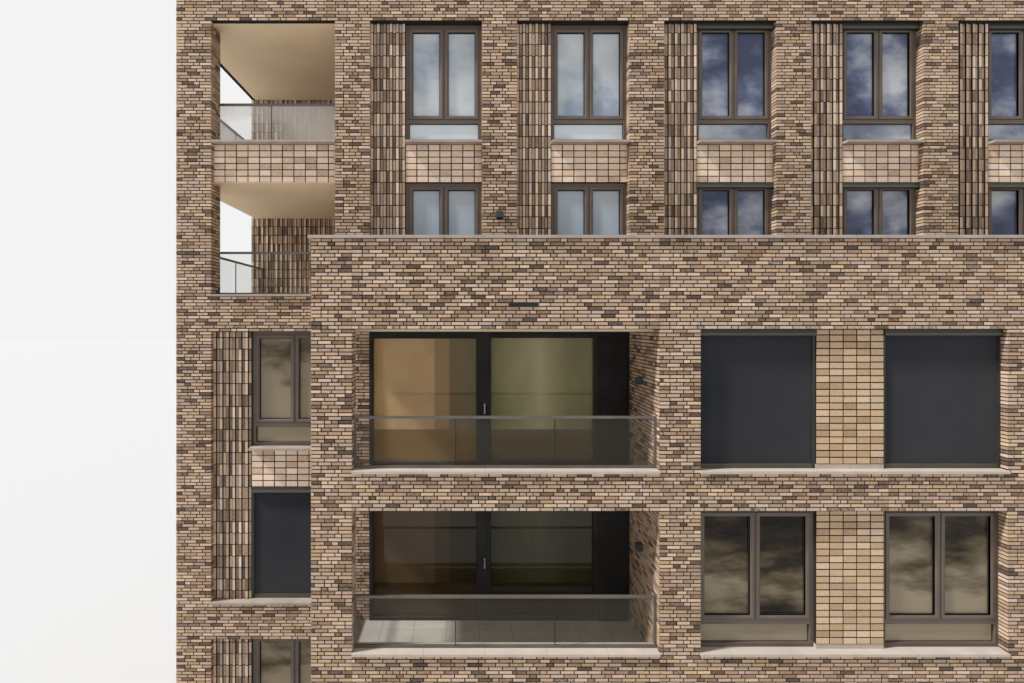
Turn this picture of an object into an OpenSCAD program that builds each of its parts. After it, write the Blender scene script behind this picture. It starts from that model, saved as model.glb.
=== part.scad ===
// Six-storey brick apartment block with a projecting front volume, corner loggias and a roof parapet.
// All sizes are in millimetres. The front faces -Y and the block stands on z = 0.

/* [Brickwork] */
// height of one course with its joint
course = 61; // [50:1:75]
// length of one brick with its joint
brick = 221; // [200:1:260]
// how far the raised ribs of the ribbed strips stand out
rib_relief = 24; // [10:1:45]

/* [Storeys] */
// number of storeys, in pairs
storeys = 6; // [4:2:8]
// courses from storey to storey
storey_courses = 48; // [44:1:52]
// courses of the plinth under the ground floor
plinth_courses = 3; // [2:1:8]
// courses from the foot of the sills to the underside of the brick over a window
head_courses = 37; // [34:1:40]
// the same to the heads of the front volume and of the top storey
tall_head_courses = 38; // [34:1:41]
// the same to the underside of a tile spandrel
spandrel_courses = 36; // [33:1:40]
// storeys under the roof terrace of the front volume
front_storeys = 4; // [2:2:6]

/* [Plan] */
// width of a brick pier
pier_w = 652; // [430:1:900]
// pier to pier, along every wall
bay = 2800; // [2400:10:3600]
// corner of the block to the first pier of the front volume
corner_bay = 3020; // [2600:10:3800]
// front bays between the two corner bays
front_bays = 6; // [4:2:8]
// how far the front volume stands out
front_depth = 1680; // [1300:10:2600]
// corner of the block to the first pier of the side wall
side_first = 3900; // [3400:10:4600]
// side bays behind that pier
side_bays = 3; // [2:1:5]
// outer wall, face to face
wall_t = 400; // [300:5:500]
// wall of the front volume, face to face
front_wall_t = 290; // [240:5:400]
// ribbed leaf of a corner loggia's back wall, in front of that pier
loggia_leaf = 100; // [90:1:140]
// back wall of a corner loggia, face to face
loggia_back_t = 352; // [200:1:500]
// glazed wall of a front loggia in front of the main wall face
glazed_wall_out = 30; // [0:5:200]
// floor slabs
slab_t = 280; // [200:10:320]
// loggia ceilings under them
ceiling_t = 30; // [15:5:60]

/* [Facade] */
// courses of a parapet over the heads below it
parapet_courses = 24; // [14:1:30]
// thickness of the stone copings
coping_t = 55; // [40:1:100]
// overhang of copings and sills
overhang = 50; // [20:1:90]
// thickness of the stone sills
sill_t = 50; // [35:1:90]
// fall of a sill or coping to its outer edge
stone_fall = 8; // [3:1:20]
// open joint between the lengths of a coping
coping_joint = 8; // [4:1:15]
// ribs of the ribbed strip in a normal bay
strip_ribs = 11; // [7:2:15]
// ribs of the ribbed strip in a corner bay
corner_strip_ribs = 12; // [8:1:15]
// wall face back to the ribbed strips
strip_recess = 100; // [60:1:150]
// wall face back to the tile spandrels
spandrel_recess = 120; // [60:1:160]
// wall face back to the window frames
window_recess = 173; // [120:1:200]
// the same in the front volume
front_window_recess = 156; // [110:1:180]
// tile columns of the panel between the two windows of the front volume
panel_columns = 5; // [3:1:9]
// wall face back to that panel
panel_recess = 100; // [40:1:130]
// stone block under that panel
panel_stone_h = 75; // [40:1:120]

/* [Windows] */
// depth of a window frame
frame_d = 70; // [55:1:100]
// outer face of a window frame back to its glass
glass_back = 46; // [30:1:60]
// width of the fixed frame
frame_bar = 66; // [45:1:90]
// width of a sash bar
sash_bar = 68; // [45:1:90]
// width of the bars between two lights
mullion_bar = 164; // [110:1:200]
// height of the low fixed light
low_light_h = 307; // [200:1:600]
// height of the bar over it
transom_bar = 145; // [90:1:180]
// thickness of the glass
glass_t = 20; // [8:1:24]
// height of the screen boxes
cassette_h = 104; // [70:1:140]
// depth of the screen boxes
cassette_d = 88; // [60:1:100]
// thickness of the lowered screens
screen_t = 5; // [4:1:10]
// width of the guides at both sides of a lowered screen
guide_w = 40; // [25:1:60]

/* [Loggias] */
// handrail over the foot of the sills
rail_h = 900; // [800:5:1200]
// width and height of a rail
rail_bar = 42; // [30:1:70]
// wall face back to the balustrades of the front volume
rail_recess = 120; // [60:1:200]
// side wall face back to the balustrades of the corner loggias
side_rail_recess = 260; // [60:1:300]
// gap between the two balustrades of a corner loggia
rail_gap = 5; // [3:1:20]
// thickness of the balustrade glass
rail_glass_t = 16; // [10:1:24]
// width of the posts between the fixed light and the sliding light
door_post = 266; // [150:1:320]
// width of the dark ribbed panel beside the sliding door
dark_panel_w = 592; // [300:1:800]
// depth of the glazed walls of the loggias
glazed_wall_d = 90; // [75:1:140]
// their outer face back to the glass
glazed_glass_back = 66; // [40:1:100]
// top bar of the glazed walls
glazed_head = 182; // [100:1:240]

/* [Hidden] */
storey_h = storey_courses * course;
plinth_h = plinth_courses * course;
head_h = head_courses * course;
tall_head_h = tall_head_courses * course;
spandrel_h = spandrel_courses * course;
parapet_h = parapet_courses * course;
top = storeys - 1;
block_w = front_bays * bay + pier_w + 2 * corner_bay;
block_d = front_depth + side_first + side_bays * bay + pier_w;
front_y = -block_d / 2;
main_y = front_y + front_depth;
rear_y = block_d / 2;
left_x = -block_w / 2;
front_w = front_bays * bay + pier_w;
main_d = rear_y - main_y;
opening = bay - pier_w;
corner_opening = corner_bay - pier_w;
side_opening = side_first - wall_t;
loggia_bays = 2;
loggia_opening = loggia_bays * bay - pier_w;
middle_bays = front_bays - 2 * loggia_bays;
middle_opening = middle_bays * bay - pier_w;
panel_w = panel_columns * brick;
front_window_w = (middle_opening - panel_w) / 2;
roof_z = floor_z(storeys);
brick_top = floor_z(top) + tall_head_h + parapet_h;
terrace_z = floor_z(front_storeys);
terrace_wall_z = floor_z(front_storeys - 1) + tall_head_h;
// wall from a floor slab up to the foot of the sills
upstand = storey_h - tall_head_h - ceiling_t - slab_t;
corner_loggia_d = side_first - loggia_leaf;
loggia_d = front_depth - glazed_wall_out;
window_w = opening - strip_ribs * course;
corner_window_w = corner_opening - corner_strip_ribs * course;
side_window_w = side_opening - 2 * strip_ribs * course;
// clearance round a sheet of glass in its frame
glass_seat = 0.3;
// gap between two panes of a balustrade
pane_gap = 8;
// how far a cutter runs past the face that it cuts
cut = 1;
// panes of the balustrades: front loggia, side of a front loggia, corner loggia
front_panes = 3;
end_panes = 1;
corner_panes = 2;
// bays of the terrace that have a pair of doors, and bays with screen boxes
door_bays = [1, 2];
cassette_bays = [3, 4, 5, 6];
// wall lamps, and their heights over the foot of the sills
lamp_w = 130;
lamp_h = 120;
lamp_d = 110;
terrace_lamp_z = 1490;
loggia_lamp_z = 1340;
$fn = 24;

// level of the foot of the sills of a storey, counted from 0
function floor_z(i) = plinth_h + i * storey_h;

// height of a window head over that level: pairs of storeys share one tall opening
function head_over(i) = i % 2 == 0 ? spandrel_h : (i == top ? tall_head_h : head_h);

// height of the ceiling of a corner loggia over the same level
function corner_head(i) = min(head_over(i), tall_head_h);

// top of a floor slab; the ground floor has no upstand
function slab_z(i) = floor_z(i) - (i == 0 ? 0 : upstand);

// underside of the slab over a storey
function slab_under(i) = floor_z(i) + tall_head_h + ceiling_t;

// left edge of a pier on the front grid; pier 0 and the last one stand at the corners
function pier_x(k) = k == 0 ? left_x
    : k == front_bays + 2 ? -left_x - pier_w
    : left_x + corner_bay + (k - 1) * bay;

// distance from the corner of the block to a pier of the side wall
function side_pier(k) = side_first + (k - 1) * bay;

// runs its children once as they are and once mirrored to the other side of the block
module both_sides() {
    children();
    mirror([1, 0, 0]) children();
}

// frames in which x runs along a wall as seen from outside, y goes into the wall and z is up
module on_main_front() translate([left_x, main_y, 0]) children();
module on_front_volume() translate([-front_w / 2, front_y, 0]) children();
module on_rear() translate([-left_x, rear_y, 0]) rotate([0, 0, 180]) children();
module on_left_side() translate([left_x, rear_y, 0]) rotate([0, 0, -90]) children();

// left edges of the openings along a side wall, from the rear to the front
function side_edge(k) = main_d - side_pier(k + 1);

// masonry

module main_plinth() color("DarkGrey")
    translate([left_x, main_y, 0]) cube([block_w, main_d, plinth_h]);

module front_plinth() color("DarkGrey")
    translate([-front_w / 2, front_y, 0]) cube([front_w, front_depth, plinth_h]);

module corner_piers() color("Tan")
    both_sides() {
        translate([left_x, main_y, plinth_h])
            cube([pier_w, wall_t, brick_top - parapet_h - plinth_h]);
        translate([left_x, rear_y - pier_w, plinth_h])
            linear_extrude(brick_top - parapet_h - plinth_h)
                polygon([[0, 0], [wall_t, 0], [wall_t, pier_w - wall_t],
                    [pier_w, pier_w - wall_t], [pier_w, pier_w], [0, pier_w]]);
    }

module front_wall_piers() color("Tan")
    for (k = [1 : front_bays + 1]) {
        foot = k == 1 || k == front_bays + 1 ? plinth_h : terrace_z;
        translate([pier_x(k), main_y, foot])
            cube([pier_w, wall_t, brick_top - parapet_h - foot]);
    }

module front_volume_piers() color("Tan")
    for (k = [1, 1 + loggia_bays, 1 + loggia_bays + middle_bays, 1 + front_bays])
        translate([pier_x(k), front_y, plinth_h])
            cube([pier_w, front_wall_t, terrace_wall_z - plinth_h]);

module side_wall_piers() color("Tan")
    both_sides()
        for (k = [1 : side_bays])
            translate([left_x, main_y + side_pier(k), plinth_h])
                cube([wall_t, pier_w, brick_top - parapet_h - plinth_h]);

module rear_wall_piers() color("Tan")
    for (k = [1 : front_bays + 1])
        translate([pier_x(k), rear_y - wall_t, plinth_h])
            cube([pier_w, wall_t, brick_top - parapet_h - plinth_h]);

// brick walls between the front loggias and the room in the middle
module loggia_flank_walls() color("Tan")
    both_sides()
        translate([pier_x(1 + loggia_bays), front_y + front_wall_t, plinth_h])
            cube([front_wall_t, front_depth + wall_t - front_wall_t,
                slab_under(front_storeys - 1) - plinth_h]);

// brick band under a floor, flush with the piers
module band(w, t, i, h) translate([0, 0, floor_z(i) - h]) cube([w, t, h]);

module front_bands() color("BurlyWood") {
    both_sides()
        for (i = [2 : 2 : storeys - 2])
            translate([left_x + pier_w, main_y, 0])
                band(corner_opening, wall_t, i, storey_h - head_h);
    for (i = [1 : front_storeys - 1]) {
        both_sides()
            translate([pier_x(1) + pier_w, front_y, 0])
                band(loggia_opening, front_wall_t, i, storey_h - tall_head_h);
        translate([-middle_opening / 2, front_y, 0])
            band(middle_opening, front_wall_t, i, storey_h - tall_head_h);
    }
}

// bands that carry the open side of the front loggias
module loggia_side_bands() color("BurlyWood")
    both_sides()
        for (i = [1 : front_storeys - 1])
            translate([pier_x(1), front_y + front_wall_t, 0])
                band(front_wall_t, front_depth - front_wall_t, i, storey_h - tall_head_h);

module side_bands() color("BurlyWood")
    both_sides()
        for (i = [2 : 2 : storeys - 2]) {
            translate([left_x, main_y + wall_t, 0])
                band(wall_t, side_opening, i, storey_h - head_h);
            for (k = [1 : side_bays])
                translate([left_x, main_y + side_pier(k) + pier_w, 0])
                    band(wall_t, opening, i, storey_h - head_h);
        }

module rear_bands() color("BurlyWood")
    for (i = [2 : 2 : storeys - 2]) {
        both_sides()
            translate([left_x + pier_w, rear_y - wall_t, 0])
                band(corner_opening, wall_t, i, storey_h - head_h);
        for (k = [1 : front_bays])
            translate([pier_x(k) + pier_w, rear_y - wall_t, 0])
                band(opening, wall_t, i, storey_h - head_h);
    }

module terrace_parapet() color("Tan")
    translate([-front_w / 2, front_y, terrace_wall_z]) cube([front_w, front_wall_t, parapet_h]);

module terrace_parapet_returns() color("Tan")
    both_sides()
        translate([-front_w / 2, front_y + front_wall_t, terrace_wall_z])
            cube([front_wall_t, front_depth - front_wall_t, parapet_h]);

module roof_parapet() color("Tan")
    for (y = [main_y, rear_y - wall_t])
        translate([left_x, y, brick_top - parapet_h]) cube([block_w, wall_t, parapet_h]);

module roof_parapet_ends() color("Tan")
    both_sides()
        translate([left_x, main_y + wall_t, brick_top - parapet_h])
            cube([wall_t, main_d - 2 * wall_t, parapet_h]);

// stone coping along x on a wall of thickness t, with a fall to both edges
module coping(w, t) translate([0, t / 2, 0])
    rotate([90, 0, 90]) linear_extrude(w)
        polygon([[-t / 2 - overhang, 0], [t / 2 + overhang, 0],
            [t / 2 + overhang, coping_t - stone_fall], [0, coping_t],
            [-t / 2 - overhang, coping_t - stone_fall]]);

module terrace_coping() color("Gainsboro") translate([0, 0, terrace_wall_z + parapet_h]) {
    translate([-front_w / 2 - overhang, front_y, 0])
        coping(front_w + 2 * overhang, front_wall_t);
    both_sides()
        translate([-front_w / 2, main_y, 0]) rotate([0, 0, -90])
            coping(front_depth - front_wall_t - overhang - coping_joint, front_wall_t);
}

module roof_coping() color("Gainsboro") translate([0, 0, brick_top]) {
    for (y = [main_y, rear_y - wall_t])
        translate([left_x - overhang, y, 0]) coping(block_w + 2 * overhang, wall_t);
    both_sides()
        translate([left_x, rear_y - wall_t - overhang - coping_joint, 0]) rotate([0, 0, -90])
            coping(main_d - 2 * (wall_t + overhang + coping_joint), wall_t);
}

// floors

module floor_slabs() color("LightGrey")
    for (i = [1 : storeys - 1])
        translate([left_x + wall_t, main_y + wall_t, slab_z(i) - slab_t])
            cube([block_w - 2 * wall_t, main_d - 2 * wall_t, slab_t]);

// the roof and the terrace are as much thicker as their upstand, with insulation on the slab
module roof_slab() color("SlateGray")
    translate([left_x + wall_t, main_y + wall_t, slab_under(top)])
        cube([block_w - 2 * wall_t, main_d - 2 * wall_t, roof_z - slab_under(top)]);

// floor of a front loggia, cut round the pier that it passes
module loggia_floor() linear_extrude(slab_t)
    polygon([[pier_x(1) + front_wall_t, front_y + front_wall_t],
        [pier_x(1 + loggia_bays), front_y + front_wall_t],
        [pier_x(1 + loggia_bays), main_y + wall_t],
        [pier_x(1) + pier_w, main_y + wall_t],
        [pier_x(1) + pier_w, main_y],
        [pier_x(1) + front_wall_t, main_y]]);

module terrace_floor() linear_extrude(slab_t + upstand)
    polygon([[pier_x(1) + front_wall_t, front_y + front_wall_t],
        [-pier_x(1) - front_wall_t, front_y + front_wall_t],
        [-pier_x(1) - front_wall_t, main_y],
        [-pier_x(1) - pier_w, main_y],
        [-pier_x(1) - pier_w, main_y + wall_t],
        [pier_x(1) + pier_w, main_y + wall_t],
        [pier_x(1) + pier_w, main_y],
        [pier_x(1) + front_wall_t, main_y]]);

module front_floor_slabs() color("LightGrey") {
    flank_x = -pier_x(1 + loggia_bays) - front_wall_t;
    for (i = [1 : front_storeys - 1]) translate([0, 0, slab_z(i) - slab_t]) {
        both_sides() loggia_floor();
        translate([-flank_x, front_y + front_wall_t, 0])
            cube([2 * flank_x, front_depth + wall_t - front_wall_t, slab_t]);
    }
    translate([0, 0, slab_under(front_storeys - 1)]) terrace_floor();
}

// plastered ceilings, level with the heads of the openings
module loggia_ceilings() color("Wheat") {
    both_sides() for (i = [0 : front_storeys - 1])
        translate([0, 0, floor_z(i) + tall_head_h]) linear_extrude(ceiling_t)
            polygon([[pier_x(1) + front_wall_t, front_y + front_wall_t],
                [pier_x(1 + loggia_bays), front_y + front_wall_t],
                [pier_x(1 + loggia_bays), main_y],
                [pier_x(1) + front_wall_t, main_y]]);
    both_sides() for (i = [front_storeys : top])
        translate([left_x + wall_t, main_y + wall_t, floor_z(i) + corner_head(i)])
            cube([corner_bay - wall_t + glazed_wall_d, corner_loggia_d - wall_t,
                tall_head_h + ceiling_t - corner_head(i)]);
}

// ribbed brickwork: soldier bricks in ribs one course wide, every other rib standing out
module ribs(n, t) {
    front = [for (k = [0 : n - 1], e = [0, 1]) [(k + e) * course, k % 2 == 0 ? 0 : rib_relief]];
    polygon(concat(front, [[n * course, t], [0, t]]));
}

// the back wall runs out over the side wall, between its sill and its head, in front of the pier
module corner_loggia_walls() color("RosyBrown")
    both_sides() for (i = [front_storeys : top])
        translate([left_x, main_y + corner_loggia_d, slab_z(i)]) difference() {
            n = floor(corner_bay / course);
            linear_extrude(storey_h - slab_t) {
                ribs(n, loggia_back_t);
                translate([n * course, rib_relief])
                    square([corner_bay - n * course, loggia_back_t - rib_relief]);
            }
            translate([-cut, loggia_leaf, -cut]) cube([wall_t + cut, loggia_back_t, storey_h]);
            translate([-cut, -cut, -cut])
                cube([wall_t + cut, loggia_leaf + 2 * cut, upstand + sill_t + cut]);
            translate([-cut, -cut, upstand + head_over(i)])
                cube([wall_t + cut, loggia_leaf + 2 * cut, storey_h]);
        }

// strips of ribs beside the windows, over the two storeys of a pair
module strip(n, i) translate([0, strip_recess, floor_z(i) + sill_t])
    linear_extrude(storey_h + head_over(i + 1) - sill_t) ribs(n, wall_t - strip_recess);

module front_ribbed_strips() color("RosyBrown") {
    both_sides() on_main_front() translate([pier_w, 0, 0])
        for (i = [0 : 2 : front_storeys - 2]) strip(corner_strip_ribs, i);
    on_main_front()
        for (k = [1 : front_bays])
            translate([pier_x(k) - left_x + pier_w, 0, 0]) strip(strip_ribs, front_storeys);
}

module side_ribbed_strips() color("RosyBrown")
    both_sides() on_left_side() {
        for (i = [0 : 2 : storeys - 2], k = [1 : side_bays])
            translate([side_edge(k), 0, 0]) strip(strip_ribs, i);
        for (i = [0 : 2 : front_storeys - 2], e = [0, side_opening - strip_ribs * course])
            translate([side_edge(0) + e, 0, 0]) strip(strip_ribs, i);
    }

module rear_ribbed_strips() color("RosyBrown") on_rear()
    for (i = [0 : 2 : storeys - 2]) {
        for (k = [1 : front_bays])
            translate([pier_x(k) - left_x + pier_w, 0, 0]) strip(strip_ribs, i);
        for (x = [pier_w, block_w - corner_bay])
            translate([x, 0, 0]) strip(corner_strip_ribs, i);
    }

// tile spandrel between the two windows of a pair
module spandrel(w, i) translate([0, spandrel_recess, floor_z(i) + spandrel_h])
    cube([w, wall_t - spandrel_recess, storey_h - spandrel_h]);

module front_tile_spandrels() color("DarkKhaki") {
    both_sides() on_main_front() {
        for (i = [0 : 2 : front_storeys - 2])
            translate([pier_w + corner_strip_ribs * course, 0, 0]) spandrel(corner_window_w, i);
        translate([pier_w, 0, 0]) spandrel(corner_opening, front_storeys);
    }
    on_main_front() at_front_windows() spandrel(window_w, front_storeys);
}

module side_tile_spandrels() color("DarkKhaki")
    both_sides() on_left_side() {
        for (i = [0 : 2 : storeys - 2], k = [1 : side_bays])
            translate([side_edge(k) + strip_ribs * course, 0, 0]) spandrel(window_w, i);
        for (i = [0 : 2 : front_storeys - 2])
            translate([side_edge(0) + strip_ribs * course, 0, 0]) spandrel(side_window_w, i);
        translate([side_edge(0), 0, 0]) spandrel(side_opening, front_storeys);
    }

module rear_tile_spandrels() color("DarkKhaki") on_rear()
    for (i = [0 : 2 : storeys - 2]) {
        at_front_windows() spandrel(window_w, i);
        for (x = [pier_w, block_w - corner_bay])
            translate([x + corner_strip_ribs * course, 0, 0]) spandrel(corner_window_w, i);
    }

// left edges of the windows in the normal bays of a long wall
module at_front_windows()
    for (k = [1 : front_bays])
        translate([pier_x(k) - left_x + pier_w + strip_ribs * course, 0, 0]) children();

// panel of tiles between the two windows of the front volume, on a low stone block
module front_tile_panels() color("DarkKhaki") on_front_volume()
    for (i = [0 : front_storeys - 1])
        translate([front_w / 2 - panel_w / 2, panel_recess, floor_z(i) + sill_t])
            translate([0, 0, panel_stone_h])
                cube([panel_w, front_wall_t - panel_recess,
                    tall_head_h - sill_t - panel_stone_h]);

module panel_stones() color("Gainsboro") on_front_volume()
    for (i = [0 : front_storeys - 1])
        translate([front_w / 2 - panel_w / 2, panel_recess, floor_z(i) + sill_t])
            cube([panel_w, front_wall_t - panel_recess, panel_stone_h]);

// sills: a stone profile with a fall in front of what stands on it
module sill(w, i, depth) translate([0, 0, floor_z(i)])
    rotate([90, 0, 90]) linear_extrude(w)
        polygon([[-overhang, 0], [depth, 0], [depth, sill_t], [strip_recess, sill_t],
            [-overhang, sill_t - stone_fall]]);

module front_sills() color("Gainsboro") {
    both_sides() on_main_front() {
        for (i = [0 : 2 : front_storeys]) translate([pier_w, 0, 0]) sill(corner_opening, i, wall_t);
        for (i = [1 : 2 : front_storeys - 1])
            translate([pier_w + corner_strip_ribs * course, 0, 0]) sill(corner_window_w, i, wall_t);
        translate([pier_w, 0, 0]) sill(corner_opening, top, wall_t);
    }
    on_main_front() for (k = [1 : front_bays])
        translate([pier_x(k) - left_x + pier_w, 0, 0]) sill(opening, front_storeys, wall_t);
    on_main_front() at_front_windows() sill(window_w, top, wall_t);
    for (i = [0 : front_storeys - 1]) {
        both_sides() on_front_volume()
            translate([pier_w, 0, 0]) sill(loggia_opening, i, front_wall_t);
        on_front_volume() translate([front_w / 2 - middle_opening / 2, 0, 0])
            sill(middle_opening, i, front_wall_t);
    }
}

module side_sills() color("Gainsboro") {
    both_sides() on_left_side() {
        for (i = [0 : 2 : storeys - 2], k = [1 : side_bays]) {
            translate([side_edge(k), 0, 0]) sill(opening, i, wall_t);
            translate([side_edge(k) + strip_ribs * course, 0, 0]) sill(window_w, i + 1, wall_t);
        }
        for (i = [0 : 2 : front_storeys])
            translate([side_edge(0), 0, 0]) sill(side_opening, i, wall_t);
        for (i = [1 : 2 : front_storeys - 1])
            translate([side_edge(0) + strip_ribs * course, 0, 0]) sill(side_window_w, i, wall_t);
        translate([side_edge(0), 0, 0]) sill(side_opening, top, wall_t);
    }
    both_sides() translate([-front_w / 2, main_y, 0]) rotate([0, 0, -90])
        for (i = [0 : front_storeys - 1]) sill(front_depth - front_wall_t, i, front_wall_t);
}

module rear_sills() color("Gainsboro") on_rear()
    for (i = [0 : 2 : storeys - 2]) {
        for (k = [1 : front_bays])
            translate([pier_x(k) - left_x + pier_w, 0, 0]) sill(opening, i, wall_t);
        at_front_windows() sill(window_w, i + 1, wall_t);
        for (x = [pier_w, block_w - corner_bay]) {
            translate([x, 0, 0]) sill(corner_opening, i, wall_t);
            translate([x + corner_strip_ribs * course, 0, 0]) sill(corner_window_w, i + 1, wall_t);
        }
    }

// windows: a frame with two casements over a low fixed light, and one sheet of glass behind the bars

module lights(w, h) {
    side = frame_bar + sash_bar;
    half = (w - 2 * side - mullion_bar) / 2;
    base = frame_bar + low_light_h + transom_bar;
    translate([frame_bar, -cut, frame_bar])
        cube([w - 2 * frame_bar, frame_d + 2 * cut, low_light_h]);
    for (x = [side, side + half + mullion_bar])
        translate([x, -cut, base]) cube([half, frame_d + 2 * cut, h - side - base]);
}

module door_lights(w, h) {
    side = frame_bar + sash_bar;
    half = (w - 2 * side - mullion_bar) / 2;
    for (x = [side, side + half + mullion_bar])
        translate([x, -cut, side]) cube([half, frame_d + 2 * cut, h - 2 * side]);
}

// rebate round the edge of the glass, or with a gap the glass itself
module pocket(w, h, gap, t) translate([frame_bar / 2 + gap, glass_back, frame_bar / 2 + gap])
    cube([w - frame_bar - 2 * gap, t, h - frame_bar - 2 * gap]);

module window_frame(w, h, doors = false) difference() {
    cube([w, frame_d, h]);
    if (doors) door_lights(w, h);
    else lights(w, h);
    pocket(w, h, 0, frame_d - glass_back + cut);
}

module window(w, h, part, doors = false) {
    if (part == "frame") window_frame(w, h, doors);
    else pocket(w, h, glass_seat, glass_t);
}

// one window on storey i of a main wall, standing on its sill
module wall_window(w, i, part, doors = false)
    translate([0, window_recess, floor_z(i) + sill_t]) window(w, head_over(i) - sill_t, part, doors);

module front_windows(part) {
    both_sides() on_main_front()
        for (i = [0 : front_storeys - 1])
            translate([pier_w + corner_strip_ribs * course, 0, 0])
                wall_window(corner_window_w, i, part);
    on_main_front() for (i = [front_storeys : top], k = [1 : front_bays])
        translate([pier_x(k) - left_x + pier_w + strip_ribs * course, 0, 0])
            wall_window(window_w, i, part, i == front_storeys && len(search(k, door_bays)) > 0);
    for (i = [0 : front_storeys - 1], right = [0, 1])
        if (i > 0 || right == 0 || part == "glass") at_middle_window(i, right)
            window(front_window_w, tall_head_h - sill_t, part);
}

// places of the two windows in the middle of the front volume
module at_middle_window(i, right) on_front_volume()
    translate([front_w / 2 - middle_opening / 2 + right * (front_window_w + panel_w),
        front_window_recess, floor_z(i) + sill_t]) children();

module side_windows(part) both_sides() on_left_side() {
    for (i = [0 : top], k = [1 : side_bays])
        translate([side_edge(k) + strip_ribs * course, 0, 0]) wall_window(window_w, i, part);
    for (i = [0 : front_storeys - 1])
        translate([side_edge(0) + strip_ribs * course, 0, 0]) wall_window(side_window_w, i, part);
}

module rear_windows(part) on_rear()
    for (i = [0 : top]) {
        at_front_windows() wall_window(window_w, i, part);
        for (x = [pier_w, block_w - corner_bay])
            translate([x + corner_strip_ribs * course, 0, 0]) wall_window(corner_window_w, i, part);
    }

module front_window_frames() color("DimGrey") front_windows("frame");
module side_window_frames() color("DimGrey") side_windows("frame");
module rear_window_frames() color("DimGrey") rear_windows("frame");
module front_window_glass() color("LightBlue") front_windows("glass");
module side_window_glass() color("LightBlue") side_windows("glass");
module rear_window_glass() color("LightBlue") rear_windows("glass");

// the entrance takes the place of one window of the front volume
module entrance_doors() color("DimGrey")
    at_middle_window(0, 1) window_frame(front_window_w, tall_head_h - sill_t, true);

// loggias

// glazed wall: a fixed light, two door posts, a sliding light and room for a dark panel
module glazed_wall(w, h, panel) difference() {
    light_w = (w - 2 * frame_bar - door_post - panel) / 2;
    cube([w, glazed_wall_d, h]);
    for (x = [frame_bar, frame_bar + light_w + door_post])
        translate([x, -cut, frame_bar])
            cube([light_w, glazed_wall_d + 2 * cut, h - frame_bar - glazed_head]);
    translate([frame_bar / 2, glazed_glass_back, frame_bar / 2])
        cube([w - frame_bar, glazed_wall_d - glazed_glass_back + cut, h - frame_bar]);
}

module glazed_wall_glass(w, h)
    translate([frame_bar / 2 + glass_seat, glazed_glass_back, frame_bar / 2 + glass_seat])
        cube([w - frame_bar - 2 * glass_seat, glass_t, h - frame_bar - 2 * glass_seat]);

module at_front_loggias()
    both_sides() for ($storey = [0 : front_storeys - 1])
        translate([pier_x(1) + pier_w, front_y + loggia_d, slab_z($storey)]) children();

// glazed wall between a corner loggia and the rooms beside it, seen from the loggia
module at_corner_loggias()
    both_sides() for ($storey = [front_storeys : top])
        translate([left_x + corner_bay, main_y + corner_loggia_d, slab_z($storey)])
            rotate([0, 0, -90]) children();

// heights of the glazed walls, from the slab to the ceiling
function front_glazed_h(i) = floor_z(i) + tall_head_h - slab_z(i);
function corner_glazed_h(i) = floor_z(i) + corner_head(i) - slab_z(i);

module loggia_glazed_walls() color("DimGrey") {
    at_front_loggias() glazed_wall(loggia_opening, front_glazed_h($storey), dark_panel_w);
    at_corner_loggias() glazed_wall(corner_loggia_d - wall_t, corner_glazed_h($storey), 0);
}

module loggia_glass() color("LightBlue") {
    at_front_loggias() glazed_wall_glass(loggia_opening, front_glazed_h($storey));
    at_corner_loggias() glazed_wall_glass(corner_loggia_d - wall_t, corner_glazed_h($storey));
}

module loggia_dark_panels() color("DarkSlateGray")
    at_front_loggias()
        translate([loggia_opening - dark_panel_w, -rib_relief, 0])
            cube([dark_panel_w - frame_bar, rib_relief, front_glazed_h($storey) - glazed_head]);

// balustrade: a frame of rails and end posts on the sill, with panes of glass in it
module balustrade_frame(w, h) translate([0, 0, sill_t]) difference() {
    cube([w, rail_bar, h - sill_t]);
    translate([rail_bar, -cut, rail_bar])
        cube([w - 2 * rail_bar, rail_bar + 2 * cut, h - sill_t - 2 * rail_bar]);
}

module balustrade_panes(w, h, panes) {
    pane = (w - 2 * rail_bar) / panes;
    for (k = [0 : panes - 1])
        translate([rail_bar + k * pane + pane_gap / 2, (rail_bar - rail_glass_t) / 2,
            sill_t + rail_bar])
            cube([pane - pane_gap, rail_glass_t, h - sill_t - 2 * rail_bar]);
}

module balustrade(w, panes, part) {
    if (part == "frame") balustrade_frame(w, rail_h);
    else balustrade_panes(w, rail_h, panes);
}

// in the front volume they stand in the openings, in a corner loggia behind the corner pier
module balustrades(part) both_sides() {
    for (i = [0 : front_storeys - 1]) translate([0, 0, floor_z(i)]) {
        on_front_volume() translate([pier_w, rail_recess, 0])
            balustrade(loggia_opening, front_panes, part);
        translate([-front_w / 2 + rail_recess, main_y, 0]) rotate([0, 0, -90])
            balustrade(front_depth - front_wall_t, end_panes, part);
    }
    for (i = [front_storeys : top]) translate([0, 0, floor_z(i)]) {
        inner = side_rail_recess + rail_bar + rail_gap;
        on_main_front() translate([inner, wall_t, 0])
            balustrade(corner_bay - inner, corner_panes, part);
        translate([left_x + side_rail_recess, main_y + corner_loggia_d, 0]) rotate([0, 0, -90])
            balustrade(corner_loggia_d - wall_t, corner_panes, part);
    }
}

module balustrade_frames() color("Grey") balustrades("frame");
module balustrade_glass() color("LightCyan") balustrades("glass");

// screens

module cassette(w) translate([0, -cassette_d, -cassette_h]) cube([w, cassette_d, cassette_h]);

// under the head of a window, from the top of its sill
module screen_place(head) translate([0, 0, head - sill_t]) children();

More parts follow.
